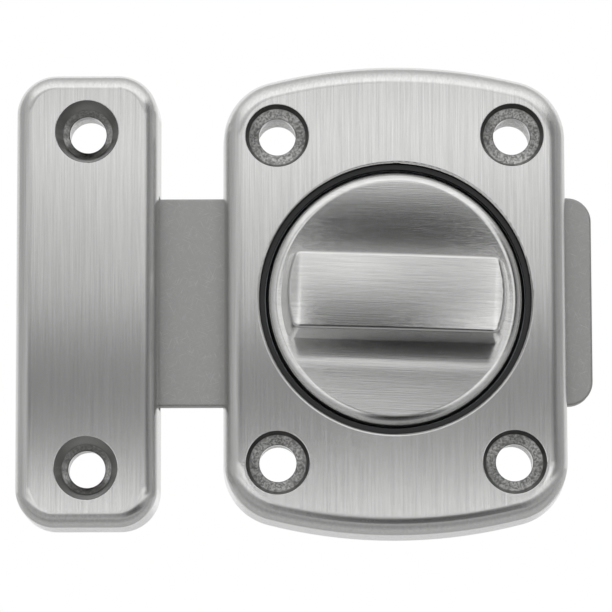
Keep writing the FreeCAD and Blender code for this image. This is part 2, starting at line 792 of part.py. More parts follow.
def make_leaf_spring():
    """Leaf spring: a bent strip riveted to the back plate, its two wings bearing on the bolt."""
    body = doc.addObject("PartDesign::Body", "leaf_blank")
    sketch = sketch_on(body, "leaf_profile", "XY_Plane", "-leaf_offset - leaf_width / 2")
    low = "plate_thickness"
    top = "bolt_level - running_gap / 2"
    drop = top + " - leaf_tip_drop"
    bend = "leaf_half_length - leaf_seat"
    right = [
        ("leaf_seat", low), (bend, top + " - leaf_thickness"),
        ("leaf_half_length", drop + " - leaf_thickness"), ("leaf_half_length", drop),
        (bend, top), ("leaf_seat", low + " + leaf_thickness"),
    ]
    points = right + [("-(%s)" % x, level) for x, level in reversed(right)]
    closed_outline(sketch, [(x, "-(%s)" % level) for x, level in points])
    pad = body.newObject("PartDesign::Pad", "leaf_strip")
    pad.Profile = sketch
    bind(pad, Length="leaf_width")
    doc.recompute()
    hole = cylinder("leaf_hole", "rivet_radius", "0", "bolt_level", z="-leaf_offset")
    return cut("leaf_spring", body, [hole])


def make_leaf_rivet():
    """Rivet: holds the leaf spring, flush with the back of the plate."""
    stem_top = "plate_thickness + leaf_thickness"
    z = "-leaf_offset"
    foot = cone("rivet_foot", "rivet_head_radius", "rivet_radius", "0", "rivet_head_radius - rivet_radius", z=z)
    stem = cylinder("rivet_stem", "rivet_radius", "0", stem_top, z=z)
    head = cylinder("rivet_head", "rivet_head_radius", stem_top, stem_top + " + rivet_head_height", z=z)
    return joined("leaf_rivet", [foot, stem, head])


def make_small_screws():
    """Four screws that hold the back plate and two that hold the disc to the knob."""
    for number, (x, z) in enumerate(PLATE_SCREWS, 1):
        small_screw("back_plate_screw_%d" % number, x, z, "0", "plate_screw_head",
                    "plate_screw_radius", "plate_screw_length")
    for number, side in enumerate("-+", 1):
        small_screw("knob_screw_%d" % number, "%s knob_screw_offset" % side, "0", "disc_back",
                    "knob_screw_head", "knob_screw_radius", "knob_screw_length")


NODES = [
    "case", "back_plate", "bearing_ring", "keep", "bolt", "turn_knob", "drive_disc", "drive_pin",
    "detent_cup_upper", "detent_cup_lower", "detent_spring_upper", "detent_spring_lower",
    "detent_ball_upper", "detent_ball_lower", "leaf_spring", "leaf_rivet",
    "knob_screw_1", "knob_screw_2",
] + ["back_plate_screw_%d" % number for number in range(1, 5)]


def check_all():
    """Stop where an object failed or a sub-part isn't one whole, valid solid."""
    for item in doc.Objects:
        if "Invalid" in item.State or "Error" in item.State:
            raise RuntimeError("object failed: " + item.Name)
    for name in NODES:
        shape = doc.getObject(name).Shape
        if shape.isNull() or not shape.isValid() or not shape.Solids:
            raise RuntimeError("sub-part is not a valid solid: " + name)


def write_all():
    """Write one file for each sub-part."""
    os.makedirs("parts", exist_ok=True)
    for name in NODES:
        item = doc.getObject(name)
        item.Label = name
        item.Shape.exportStep("parts/%s.step" % name)
        print(name, len(item.Shape.Solids), round(item.Shape.Volume, 2))


fill_sheet()
make_case()
make_keep()
make_back_plate()
make_bolt()
make_turn_knob()
make_drive_disc()
make_drive_pin()
make_bearing_ring()
make_detent("upper", "+")
make_detent("lower", "-")
make_leaf_spring()
make_leaf_rivet()
make_small_screws()
doc.recompute()
check_all()
write_all()
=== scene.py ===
# %% [markdown]
# # A bathroom door latch
#
# The latch is a small satin-plated lock for a cubicle or bathroom door: a round knob with a grip
# bar turns a quarter turn and slides a flat bolt out of a separate keep. Its pieces come from the
# construction model, so this lesson is about what the eye sees on them: the brushing, the raw
# casting in the screw holes, the tumbled bolt and the light of a product photographer's table.
#
# Lengths are metres. +X points from the keep to the bolt's tail, +Z is up, and +Y points into the
# door, so the front looks along -Y.

# %% Load the frame

import json
import math

import bpy
from mathutils import Matrix, Vector

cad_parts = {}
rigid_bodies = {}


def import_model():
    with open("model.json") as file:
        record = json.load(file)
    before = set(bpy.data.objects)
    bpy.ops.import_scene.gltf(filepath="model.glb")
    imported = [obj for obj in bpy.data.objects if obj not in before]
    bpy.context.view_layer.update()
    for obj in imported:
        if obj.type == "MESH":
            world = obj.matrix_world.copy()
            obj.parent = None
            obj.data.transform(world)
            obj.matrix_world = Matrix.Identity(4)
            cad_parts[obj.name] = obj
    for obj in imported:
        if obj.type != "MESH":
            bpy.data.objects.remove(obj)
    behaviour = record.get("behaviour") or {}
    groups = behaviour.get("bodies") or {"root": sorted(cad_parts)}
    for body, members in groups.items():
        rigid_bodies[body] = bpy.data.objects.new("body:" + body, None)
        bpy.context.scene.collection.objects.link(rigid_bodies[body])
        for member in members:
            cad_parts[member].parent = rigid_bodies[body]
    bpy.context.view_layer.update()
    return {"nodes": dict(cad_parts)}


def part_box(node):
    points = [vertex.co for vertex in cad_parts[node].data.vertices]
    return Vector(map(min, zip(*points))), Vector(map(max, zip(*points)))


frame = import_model()
nodes = frame["nodes"]
MM = 0.001
print("pieces from the construction model:", len(nodes))

# %% [markdown]
# ## Colours and nodes
#
# A colour is written as the hex value that a picture shows, and one function turns it to the
# linear light that a shader works in. Every material is a small tree of nodes, so one helper adds
# a node, gives it its settings and ties its inputs, and nothing more is needed to read the rest.
# Where sockets share a name, they are told apart by number: on a Mix node 0 is the share, 2 and 3
# are two numbers, 4 and 5 two vectors, and 6 and 7 two colours, while its outputs 0, 1 and 2 are
# the mixed number, vector and colour.

# %% From a hex value to linear light


def linear(hex_colour):
    """The linear colour of an sRGB hex value: each channel is undone from the sRGB curve."""
    channels = [int(hex_colour[start:start + 2], 16) / 255 for start in (1, 3, 5)]
    undone = [c / 12.92 if c <= 0.04045 else ((c + 0.055) / 1.055) ** 2.4 for c in channels]
    return (*undone, 1.0)


print("a middle grey is", [round(channel, 3) for channel in linear("#808080")[:3]])

# %% An empty material, and a node with its settings and links


def new_material(name):
    """An empty material and the tree of its nodes."""
    material = bpy.data.materials.new(name)
    material.use_nodes = True
    material.node_tree.nodes.clear()
    return material, material.node_tree


def add(tree, kind, inputs=None, **settings):
    """Add a node: its settings are properties, and each input is a value or another's output."""
    made = tree.nodes.new(kind)
    for name, choice in settings.items():
        setattr(made, name, choice)
    for name, source in (inputs or {}).items():
        if isinstance(source, bpy.types.NodeSocket):
            tree.links.new(source, made.inputs[name])
        else:
            made.inputs[name].default_value = source
    return made


# %% [markdown]
# ## Brushed satin nickel
#
# The case, the keep and the knob are zinc castings, nickel plated and then drawn along a fine
# abrasive belt, which leaves parallel scratches. They could be a picture of brushed metal, but a
# noise stretched along them is sharp at any distance. It varies the colour, the roughness and a
# very shallow relief. The belt's real grit is about 0.05 mm; the lines here are drawn about three
# times as coarse, because finer ones would not show in the picture.

# %% A noise drawn out into lines

NOISE_ROUGHNESS = 0.6


def lines(tree, place, along, width, length, detail):
    """A noise drawn out along X or along Z; width and length are the size of one line."""
    fine = 1 / width
    coarse = 1 / length
    shrink = (coarse, fine, fine) if along == "X" else (fine, fine, coarse)
    scaled = add(tree, "ShaderNodeVectorMath", {0: place, 1: shrink}, operation="MULTIPLY")
    return add(tree, "ShaderNodeTexNoise", {
        "Vector": scaled.outputs[0], "Scale": 1.0, "Detail": detail, "Roughness": NOISE_ROUGHNESS,
    }).outputs[0]


# %% The brushed plate

SCRATCH_WIDTH = 0.15 * MM
SCRATCH_LENGTH = 9.0 * MM
SCRATCH_DETAIL = 3.0
STREAK_WIDTH = 0.5 * MM
STREAK_LENGTH = 26.0 * MM
STREAK_DETAIL = 2.0
STREAK_SHARE = 0.3
WORN_FROM = 0.28
WORN_TO = 0.72
NICKEL_DARK = "#d2d2d1"
NICKEL_LIGHT = "#e6e6e5"


def brushed_plate(tree, place, along, polish):
    """Colour, roughness and height of plate that is brushed along X or Z.

    Polish is the roughness in the deep scratches and on the ground between them.
    """
    scratches = lines(tree, place, along, SCRATCH_WIDTH, SCRATCH_LENGTH, SCRATCH_DETAIL)
    streaks = lines(tree, place, along, STREAK_WIDTH, STREAK_LENGTH, STREAK_DETAIL)
    brushing = add(tree, "ShaderNodeMix", {0: STREAK_SHARE, 2: scratches, 3: streaks}).outputs[0]
    worn = add(tree, "ShaderNodeMapRange", {
        "Value": brushing, "From Min": WORN_FROM, "From Max": WORN_TO,
    }).outputs[0]
    colour = add(tree, "ShaderNodeMix", {
        0: worn, 6: linear(NICKEL_DARK), 7: linear(NICKEL_LIGHT),
    }, data_type="RGBA").outputs[2]
    in_scratch, on_ground = polish
    rough = add(tree, "ShaderNodeMix", {0: worn, 2: in_scratch, 3: on_ground}).outputs[0]
    return colour, rough, scratches


print("a scratch is", round(SCRATCH_LENGTH / SCRATCH_WIDTH), "times as long as it is wide")

# %% [markdown]
# ## Where the brush can't reach
#
# The plated castings are brushed last, and a belt can't reach into the screw holes or behind the
# front, so there the raw casting stays. Its darker greys in the holes and the hollow are also
# painted shade, for the shade that falls in them. Two measures tell the places apart: the distance
# from the nearest screw's axis, and how far a point lies in from the outline and below the front
# wall. The screws lie in a rectangle, so the absolute value of a coordinate folds four holes into one.

# %% The forms of the case and the keep

# The wall's grey, which also fills the hollow behind the front, is darker as painted shade.
CASE = {
    "middle": 0.0, "spread": 32.4 * MM, "rise": 45.2 * MM, "throat": 3.92 * MM,
    "corner": (15.25 * MM, 0, 24.2 * MM), "inside": 7.4 * MM, "bow": 1 / (2 * 70.6 * MM),
    "seat": ("#868685", "#cfcfcd"), "wall": "#7a7a79",
}
# The keep's greys are lighter than the case's as painted light for its deeper holes, and its wall's grey is
# still darker as painted shade.
KEEP = {
    "middle": -42.45 * MM, "spread": 0.0, "rise": 46.5 * MM, "throat": 3.45 * MM,
    "corner": (4.2 * MM, 0, 25.8 * MM), "inside": 4.6 * MM, "bow": 0.0,
    "seat": ("#b4b4b3", "#e2e2e0"), "wall": "#9c9c9b",
}
print("the case's screws stand", CASE["spread"] / MM, "by", CASE["rise"] / MM, "mm apart")

# %% The distance from a screw


def from_middle(tree, place, middle):
    """A point's distances across and up from the middle of a piece, both counted positive."""
    centred = add(tree, "ShaderNodeVectorMath", {0: place, 1: (middle, 0, 0)}, operation="SUBTRACT")
    folded = add(tree, "ShaderNodeVectorMath", {0: centred.outputs[0]}, operation="ABSOLUTE")
    flat = add(tree, "ShaderNodeVectorMath", {0: folded.outputs[0], 1: (1, 0, 1)}, operation="MULTIPLY")
    return flat.outputs[0]


def from_screw(tree, place, form):
    """The distance from the axis of the nearest screw."""
    flat = from_middle(tree, place, form["middle"])
    screw = (form["spread"] / 2, 0, form["rise"] / 2)
    return add(tree, "ShaderNodeVectorMath", {0: flat, 1: screw}, operation="DISTANCE").outputs["Value"]


# %% The hollow behind the front

FRONT_WALL = 8.05 * MM


def in_hollow(tree, place, form):
    """1 where a point lies behind the front wall and inside the outline, else 0.

    The outline's ends bow by the square of the distance across. Past the centre of a rounded
    corner, the distance from that centre is what is compared.
    """
    flat = from_middle(tree, place, form["middle"])
    across = add(tree, "ShaderNodeSeparateXYZ", {0: flat}).outputs["X"]
    square = add(tree, "ShaderNodeMath", {0: across, 1: across}, operation="MULTIPLY").outputs[0]
    bow = add(tree, "ShaderNodeMath", {0: square, 1: form["bow"]}, operation="MULTIPLY").outputs[0]
    raised = add(tree, "ShaderNodeCombineXYZ", {"Z": bow}).outputs[0]
    straight = add(tree, "ShaderNodeVectorMath", {0: flat, 1: raised}, operation="ADD").outputs[0]
    past = add(tree, "ShaderNodeVectorMath", {0: straight, 1: form["corner"]}, operation="SUBTRACT")
    beyond = add(tree, "ShaderNodeVectorMath", {0: past.outputs[0], 1: (0, 0, 0)}, operation="MAXIMUM")
    reach = add(tree, "ShaderNodeVectorMath", {0: beyond.outputs[0]}, operation="LENGTH").outputs["Value"]
    within = add(tree, "ShaderNodeMath", {0: reach, 1: form["inside"]}, operation="LESS_THAN").outputs[0]
    depth = add(tree, "ShaderNodeSeparateXYZ", {0: place}).outputs["Y"]
    behind = add(tree, "ShaderNodeMath", {0: depth, 1: -FRONT_WALL}, operation="GREATER_THAN").outputs[0]
    return add(tree, "ShaderNodeMath", {0: within, 1: behind}, operation="MULTIPLY").outputs[0]


print("the hollow starts", round(FRONT_WALL / MM, 2), "mm above the door")

# %% [markdown]
# ## The raw casting in the screw holes
#
# A screw hole has three parts: the seat for the screw's head, a smooth wall round it, and the
# bore. The mould leaves the seat speckled, with grains of about a third of a millimetre, while
# the wall is smooth and the bore the smoothest. The wall's grey, which also fills the hollow behind
# the front, and the bore's grey are darker as painted shade. The keep's holes are deeper and less
# light reaches them, so their greys are written lighter as painted light, to look as they do in
# the picture.

# %% Seat, wall and bore

CAST_GRAIN = 0.32 * MM
CAST_DETAIL = 2.0
CAST_ROUGHNESS = 0.55
CAST_DISTORTION = 0.6
SPECKLE_FROM = 0.40
SPECKLE_TO = 0.62
BORE_RADIUS = 2.6 * MM
# The bore's grey is darker as painted shade inside the hole.
BORE_SHADE_GREY = "#666665"
SEAT_ROUGH = 0.42
WALL_ROUGH = 0.34
BORE_ROUGH = 0.2
WALL_BLEND = 0.12 * MM
BORE_BLEND = 0.06 * MM
SOFT_EDGE = 0.02 * MM
SMOOTH_HEIGHT = 0.5


def raw_casting_and_shade(tree, place, away, form):
    """Colour, roughness and height of the raw casting, by the distance from the screw's axis; the wall's
    and the bore's greys are darker as painted shade.
    """
    grain = add(tree, "ShaderNodeTexNoise", {
        "Vector": place, "Scale": 1 / CAST_GRAIN, "Detail": CAST_DETAIL,
        "Roughness": CAST_ROUGHNESS, "Distortion": CAST_DISTORTION,
    }).outputs[0]
    speckle = add(tree, "ShaderNodeMapRange", {
        "Value": grain, "From Min": SPECKLE_FROM, "From Max": SPECKLE_TO,
    }).outputs[0]
    on_wall = add(tree, "ShaderNodeMapRange", {
        "Value": away, "From Min": form["throat"] - WALL_BLEND, "From Max": form["throat"] + SOFT_EDGE,
    }).outputs[0]
    in_bore = add(tree, "ShaderNodeMapRange", {
        "Value": away, "From Min": BORE_RADIUS + BORE_BLEND, "From Max": BORE_RADIUS,
    }).outputs[0]
    dark, light = (linear(grey) for grey in form["seat"])
    colour = add(tree, "ShaderNodeMix", {0: speckle, 6: dark, 7: light}, data_type="RGBA").outputs[2]
    rough = SEAT_ROUGH
    # The wall's and the bore's greys put painted shade into the hole and the hollow.
    for mask, grey, smoother in ((on_wall, form["wall"], WALL_ROUGH), (in_bore, BORE_SHADE_GREY, BORE_ROUGH)):
        colour = add(tree, "ShaderNodeMix", {
            0: mask, 6: colour, 7: linear(grey),
        }, data_type="RGBA").outputs[2]
        rough = add(tree, "ShaderNodeMix", {0: mask, 2: rough, 3: smoother}).outputs[0]
    smooth = add(tree, "ShaderNodeMath", {0: on_wall, 1: in_bore}, operation="MAXIMUM").outputs[0]
    height = add(tree, "ShaderNodeMix", {0: smooth, 2: grain, 3: SMOOTH_HEIGHT}).outputs[0]
    return colour, rough, height


print("a bore is", round(2 * BORE_RADIUS / MM, 2), "mm across")

# %% [markdown]
# ## Faces that the belt has crowned
#
# A belt presses hardest at an edge, so a face that looks flat is really crowned or hollowed by a
# few degrees, and satin metal shows that as soft dark and light bands. The depth is far below a
# millimetre, so it is drawn by leaning the normal, as a bump map would. The leans are given as a
# row of places and degrees. A row could be a chain of steps, but a colour ramp holds all of its
# places in one node.

# %% A number that follows a row


def profile(tree, value, numbers, smooth=False):
    """A number that runs through the given pairs of a place and a number, straight or smoothly.

    The ramp holds each number as a share of the whole span, which is then scaled and raised.
    """
    places = sorted(numbers)
    low = min(numbers.values())
    span = max(numbers.values()) - low
    part = add(tree, "ShaderNodeMapRange", {"Value": value, "From Min": places[0], "From Max": places[-1]})
    ramp = add(tree, "ShaderNodeValToRGB", {0: part.outputs[0]})
    ramp.color_ramp.interpolation = "B_SPLINE" if smooth else "LINEAR"
    stops = ramp.color_ramp.elements
    # New stops start in the middle, and the loop below gives every stop its place.
    while len(stops) < len(places):
        stops.new(0.5)
    for stop, spot in zip(stops, places):
        stop.position = (spot - places[0]) / (places[-1] - places[0])
        share = (numbers[spot] - low) / span
        stop.color = (share, share, share, 1)
    raised = add(tree, "ShaderNodeMath", {0: ramp.outputs[0], 1: span, 2: low}, operation="MULTIPLY_ADD")
    return raised.outputs[0]


# %% The normal of a crowned face

LEVEL_SLACK = 0.5 * MM
# The Y of a face's own normal is -1 where it lies level.
NEARLY_LEVEL = -0.98
LEVEL = -0.999


def belt_crown(tree, turned, faces):
    """The normal of level faces that a belt has crowned or hollowed.

    Each face is an axis, a level above the door in mm, and pairs of a place along the axis in mm
    and a lean in degrees, which is positive where it points up or towards +X. A face that is
    nearly level counts as level, and then the lean's tangent, as a vector along the axis, is added
    to its normal.
    """
    normal = add(tree, "ShaderNodeNewGeometry").outputs["Normal"]
    own = add(tree, "ShaderNodeVectorTransform", {0: normal},
              vector_type="NORMAL", convert_from="WORLD", convert_to="OBJECT").outputs[0]
    facing = add(tree, "ShaderNodeSeparateXYZ", {0: own}).outputs["Y"]
    spot = add(tree, "ShaderNodeSeparateXYZ", {0: turned})
    flat = add(tree, "ShaderNodeMapRange", {
        "Value": facing, "From Min": NEARLY_LEVEL, "From Max": LEVEL,
    }).outputs[0]
    shaped = add(tree, "ShaderNodeMix", {0: flat, 4: own, 5: (0, -1, 0)}, data_type="VECTOR").outputs[1]
    for axis, level, leans in faces:
        slopes = {at * MM: math.tan(math.radians(lean)) for at, lean in leans.items()}
        slope = profile(tree, spot.outputs[axis], slopes, smooth=True)
        on_level = add(tree, "ShaderNodeMath", {0: spot.outputs["Y"], 1: -level * MM, 2: LEVEL_SLACK},
                       operation="COMPARE").outputs[0]
        masked = add(tree, "ShaderNodeMath", {0: on_level, 1: flat}, operation="MULTIPLY").outputs[0]
        part = add(tree, "ShaderNodeMath", {0: slope, 1: masked}, operation="MULTIPLY").outputs[0]
        lean = add(tree, "ShaderNodeCombineXYZ", {axis: part}).outputs[0]
        shaped = add(tree, "ShaderNodeVectorMath", {0: shaped, 1: lean}, operation="ADD").outputs[0]
    turned_back = add(tree, "ShaderNodeVectorTransform", {0: shaped},
                      vector_type="NORMAL", convert_from="OBJECT", convert_to="WORLD").outputs[0]
    return add(tree, "ShaderNodeVectorMath", {0: turned_back}, operation="NORMALIZE").outputs[0]


# %% [markdown]
# ## The castings' finish as a whole
#
# Scratches spread a reflection across themselves and leave it sharp along them, so the shader is
# anisotropic and its tangent lies across the scratches. The tangent is turned with the piece,
# because a fixed one would let the shine slide over the knob when it turns.

# %% Plate, raw places and shine in one material

SINK_RADIUS = 4.37 * MM
BRUSHING = 0.98
SCRATCH_STRENGTH = 0.3
SCRATCH_DEPTH = 0.03 * MM


def brushed_casting(name, along, polish, lean=0.0, form=None, faces=()):
    """Nickel plate brushed along X or Z, its lines turned by a lean; a form gives its raw places."""
    material, tree = new_material(name)
    place = add(tree, "ShaderNodeTexCoord").outputs["Object"]
    turned = add(tree, "ShaderNodeMapping", {"Vector": place, "Rotation": (0, lean, 0)}).outputs[0]
    colour, rough, height = brushed_plate(tree, turned, along, polish)
    if form:
        away = from_screw(tree, place, form)
        raw_colour_and_shade, raw_rough, raw_height = raw_casting_and_shade(tree, place, away, form)
        in_hole = add(tree, "ShaderNodeMapRange", {
            "Value": away, "From Min": SINK_RADIUS + SOFT_EDGE, "From Max": SINK_RADIUS - SOFT_EDGE,
        }).outputs[0]
        # Raw casting in the holes and the hollow, whose darker greys there are painted shade.
        raw = add(tree, "ShaderNodeMath", {
            0: in_hole, 1: in_hollow(tree, place, form),
        }, operation="MAXIMUM").outputs[0]
        colour = add(tree, "ShaderNodeMix", {0: raw, 6: colour, 7: raw_colour_and_shade}, data_type="RGBA").outputs[2]
        rough = add(tree, "ShaderNodeMix", {0: raw, 2: rough, 3: raw_rough}).outputs[0]
        height = add(tree, "ShaderNodeMix", {0: raw, 2: height, 3: raw_height}).outputs[0]
    relief = add(tree, "ShaderNodeBump", {
        "Height": height, "Strength": SCRATCH_STRENGTH, "Distance": SCRATCH_DEPTH,
    })
    if faces:
        tree.links.new(belt_crown(tree, turned, faces), relief.inputs["Normal"])
    across = (0, 0, 1) if along == "X" else (1, 0, 0)
    tangent = add(tree, "ShaderNodeVectorTransform", {0: across},
                  vector_type="VECTOR", convert_from="OBJECT", convert_to="WORLD").outputs[0]
    shader = add(tree, "ShaderNodeBsdfPrincipled", {
        "Base Color": colour, "Metallic": 1.0, "Roughness": rough,
        "Anisotropic": BRUSHING, "Tangent": tangent, "Normal": relief.outputs[0],
    })
    add(tree, "ShaderNodeOutputMaterial", {"Surface": shader.outputs[0]})
    return material


print("a screw's sink is", round(2 * SINK_RADIUS / MM, 2), "mm across")

# %% [markdown]
# The case and the keep are brushed upright. The eye sees upright lines and a broad glow that
# changes slowly from top to bottom.

# %% The case and the keep

CASE_POLISH = (0.22, 0.185)


def dress(node_name, material):
    """Give a piece of the construction model its finish."""
    slots = nodes[node_name].data.materials
    slots.clear()
    slots.append(material)


dress("case", brushed_casting("satin_nickel_case", "Z", CASE_POLISH, form=CASE))
dress("keep", brushed_casting("satin_nickel_keep", "Z", CASE_POLISH, form=KEEP))
case_low, case_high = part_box("case")
print("the case is", [round(size / MM, 1) for size in case_high - case_low], "mm")

# %% [markdown]
# The knob was brushed on a finer belt along its bar, which dips to the right by 2.5 degrees, and
# the pattern dips with it. The disc is hollowed on both sides of the bar, the bar's face is
# crowned, and the bar's ends are rounded off, so dark bands lie beside the bar and light ones at
# its ends. The right half of the bar really slopes by 1.8 degrees, which the last row gives.

# %% The knob

KNOB_POLISH = (0.17, 0.14)
BAR_LEAN = math.radians(-2.5)
DISC_LEVEL = 9.6
DISC_LEANS = {
    -17: 2.0, -14: 1.5, -11.5: 0.0, -10: -1.0, -9.2: 3.0, -8.4: 10.5, -6: 12.0,
    6: -8.0, 7.5: -9.0, 9: -9.0, 11: -8.0, 13: -5.5, 15: -2.5, 17: 0.0,
}
BAR_LEVEL = 17.4
BAR_LEANS = {-5.2: -5.0, -2.5: -2.5, 0: 0.0, 2.5: 2.5, 5.2: 6.0}
BAR_END_LEANS = {
    -14.2: -8.0, -13.5: -6.0, -12.8: 0.0, -9: 0.0,
    9: 1.8, 13.2: 1.8, 13.7: 6.0, 14.2: 8.0,
}
KNOB_FACES = (
    ("Z", DISC_LEVEL, DISC_LEANS), ("Z", BAR_LEVEL, BAR_LEANS), ("X", BAR_LEVEL, BAR_END_LEANS),
)

dress("turn_knob", brushed_casting("satin_nickel_knob", "X", KNOB_POLISH, lean=BAR_LEAN, faces=KNOB_FACES))
print("the disc's shading leans by up to", max(DISC_LEANS.values()), "degrees")

# %% [markdown]
# ## Finishes with an even grain
#
# The other finishes have no brushing. Their roughness and a fine relief both follow one grain, and
# only the grain, the colour and the polish set them apart, so they share the end of their tree.

# %% The end of a grained finish

GRAIN_DETAIL = 4.0
GRAIN_LOW = 0.3
GRAIN_HIGH = 0.7
FINE_STRENGTH = 0.2
FINE_DEPTH = 0.02 * MM


def end_with_grain(tree, grain, colour, metallic, polish):
    """Give a tree its shader; polish is the roughness where the grain is low and where it is high."""
    smoothest, roughest = polish
    rough = add(tree, "ShaderNodeMapRange", {
        "Value": grain, "From Min": GRAIN_LOW, "From Max": GRAIN_HIGH,
        "To Min": smoothest, "To Max": roughest,
    }).outputs[0]
    relief = add(tree, "ShaderNodeBump", {
        "Height": grain, "Strength": FINE_STRENGTH, "Distance": FINE_DEPTH,
    }).outputs[0]
    shader = add(tree, "ShaderNodeBsdfPrincipled", {
        "Base Color": colour, "Metallic": metallic, "Roughness": rough, "Normal": relief,
    })
    add(tree, "ShaderNodeOutputMaterial", {"Surface": shader.outputs[0]})


# %% [markdown]
# ## The tumbled bolt
#
# The bolt is a plain zinc plate that was tumbled with stones to take its burrs off. Tumbling
# leaves an even, matt grey with short faint scratches in every direction, so the reflection has
# no direction of its own. Each family of scratches is a noise stretched along one line, of which
# only the crests are kept, and four families are turned against each other.

# %% The tumbled finish

TUMBLE_WIDTH = 0.10 * MM
TUMBLE_LENGTH = 2.2 * MM
TUMBLE_DETAIL = 1.0
TUMBLE_TURNS = (0.35, 1.2, 2.0, 2.75)
CREST_FROM = 0.64
CREST_TO = 0.78
ZINC_GRAIN = 0.5 * MM
ZINC_DARK = "#a5a5a4"
ZINC_LIGHT = "#b9b9b8"
ZINC_SCRATCH = "#cccccb"
ZINC_POLISH = (0.5, 0.6)


def tumbled_zinc(name):
    """Matt zinc with short scratches at several angles, and a fine even grain."""
    material, tree = new_material(name)
    place = add(tree, "ShaderNodeTexCoord").outputs["Object"]
    scratched = 0.0
    for turn in TUMBLE_TURNS:
        turned = add(tree, "ShaderNodeMapping", {"Vector": place, "Rotation": (0, turn, 0)}).outputs[0]
        family = lines(tree, turned, "X", TUMBLE_WIDTH, TUMBLE_LENGTH, TUMBLE_DETAIL)
        crest = add(tree, "ShaderNodeMapRange", {
            "Value": family, "From Min": CREST_FROM, "From Max": CREST_TO,
        }).outputs[0]
        scratched = add(tree, "ShaderNodeMath", {
            0: scratched, 1: crest,
        }, operation="MAXIMUM").outputs[0]
    grain = add(tree, "ShaderNodeTexNoise", {
        "Vector": place, "Scale": 1 / ZINC_GRAIN, "Detail": GRAIN_DETAIL,
    }).outputs[0]
    ground = add(tree, "ShaderNodeMix", {
        0: grain, 6: linear(ZINC_DARK), 7: linear(ZINC_LIGHT),
    }, data_type="RGBA").outputs[2]
    colour = add(tree, "ShaderNodeMix", {
        0: scratched, 6: ground, 7: linear(ZINC_SCRATCH),
    }, data_type="RGBA").outputs[2]
    end_with_grain(tree, grain, colour, 1.0, ZINC_POLISH)
    return material


dress("bolt", tumbled_zinc("tumbled_zinc"))
print("families of scratches on the bolt:", len(TUMBLE_TURNS))

# %% [markdown]
# ## The pieces inside
#
# What holds the latch together is plainer: zinc-plated sheet steel with a faint rolling grain,
# drawn steel for the pins, screws and springs, turned brass for the detent cups, and a moulded
# black nylon ring round the knob. They show only from the back and at the knob's edge, yet each
# keeps the grain that its making left, so one noise with its own size along each axis does for all.

# %% One grained finish for four materials


def grained(name, dark, light, metallic, polish, grain):
    """A finish that varies with one noise; grain is the noise's size along each axis, in mm."""
    material, tree = new_material(name)
    place = add(tree, "ShaderNodeTexCoord").outputs["Object"]
    shrink = tuple(1 / (size * MM) for size in grain)
    scaled = add(tree, "ShaderNodeVectorMath", {0: place, 1: shrink}, operation="MULTIPLY")
    noise = add(tree, "ShaderNodeTexNoise", {
        "Vector": scaled.outputs[0], "Scale": 1.0, "Detail": GRAIN_DETAIL, "Roughness": NOISE_ROUGHNESS,
    }).outputs[0]
    colour = add(tree, "ShaderNodeMix", {
        0: noise, 6: linear(dark), 7: linear(light),
    }, data_type="RGBA").outputs[2]
    end_with_grain(tree, noise, colour, metallic, polish)
    return material


# %% Sheet, wire, brass and nylon

# Zinc-plated sheet: a cool, even grey with a faint grain along the way it was rolled.
sheet_steel = grained("zinc_plated_sheet", "#9fa3a8", "#c3c7cb", 1.0, (0.26, 0.42), (12, 0.4, 0.4))
# Drawn steel: brighter, with marks along the way it was pulled.
drawn_steel = grained("drawn_steel", "#a9aaab", "#cfd0d1", 1.0, (0.19, 0.31), (0.3, 2, 0.3))
# Turned brass: warm and clean, with close rings from the tool.
turned_brass = grained("turned_brass", "#b08d3e", "#d6b564", 1.0, (0.22, 0.34), (0.6, 0.15, 0.6))
# Moulded nylon: nearly black, with a dull and even sheen.
black_nylon = grained("moulded_black_nylon", "#19191a", "#222223", 0.0, (0.39, 0.51), (0.4, 0.4, 0.4))

dress("back_plate", sheet_steel)
dress("drive_disc", sheet_steel)
dress("bearing_ring", black_nylon)
for node_name in nodes:
    if node_name.startswith("detent_cup"):
        dress(node_name, turned_brass)
    elif node_name.startswith(("detent_", "leaf_", "knob_screw", "back_plate_screw", "drive_pin")):
        dress(node_name, drawn_steel)
print("finishes:", sorted({node.data.materials[0].name for node in nodes.values()}))

# %% [markdown]
# ## A light tent
#
# Satin metal shows what stands round it, so a product photographer lights the surroundings and
# not the metal. The latch stands in a tent of pale cloth, seen only in reflections, and dark
# flags in front and below draw the soft bands that give the flat plates their form. The world is
# plain white for the camera and for reflections, and dimmer for the light that falls on the
# floor, which is pale and keeps the shadow.

# %% The world

AMBIENT = 0.6
WHITE = (1, 1, 1, 1)

world = bpy.data.worlds.new("white_surroundings")
bpy.context.scene.world = world
world.use_nodes = True
sky = world.node_tree
sky.nodes.clear()
path = add(sky, "ShaderNodeLightPath")
seen = add(sky, "ShaderNodeMath", {
    0: path.outputs["Is Camera Ray"], 1: path.outputs["Is Glossy Ray"],
}, operation="MAXIMUM")
seen_through = add(sky, "ShaderNodeMath", {
    0: seen.outputs[0], 1: path.outputs["Is Transmission Ray"],
}, operation="MAXIMUM")
dimmer = add(sky, "ShaderNodeBackground", {"Color": WHITE, "Strength": AMBIENT})
plain = add(sky, "ShaderNodeBackground", {"Color": WHITE, "Strength": 1.0})
chosen = add(sky, "ShaderNodeMixShader", {
    0: seen_through.outputs[0], 1: dimmer.outputs[0], 2: plain.outputs[0],
})
add(sky, "ShaderNodeOutputWorld", {"Surface": chosen.outputs[0]})
print("the world lights the floor at", AMBIENT, "of white")

# %% [markdown]
# The floor and the walls of the tent are single rectangles. They belong to the set and not to the
# latch.

# %% The floor

FLOOR_LEVEL = -90
FLOOR_REACH = 1500
FLOOR_GREY = "#f2f2f2"
FLOOR_ROUGH = 0.8


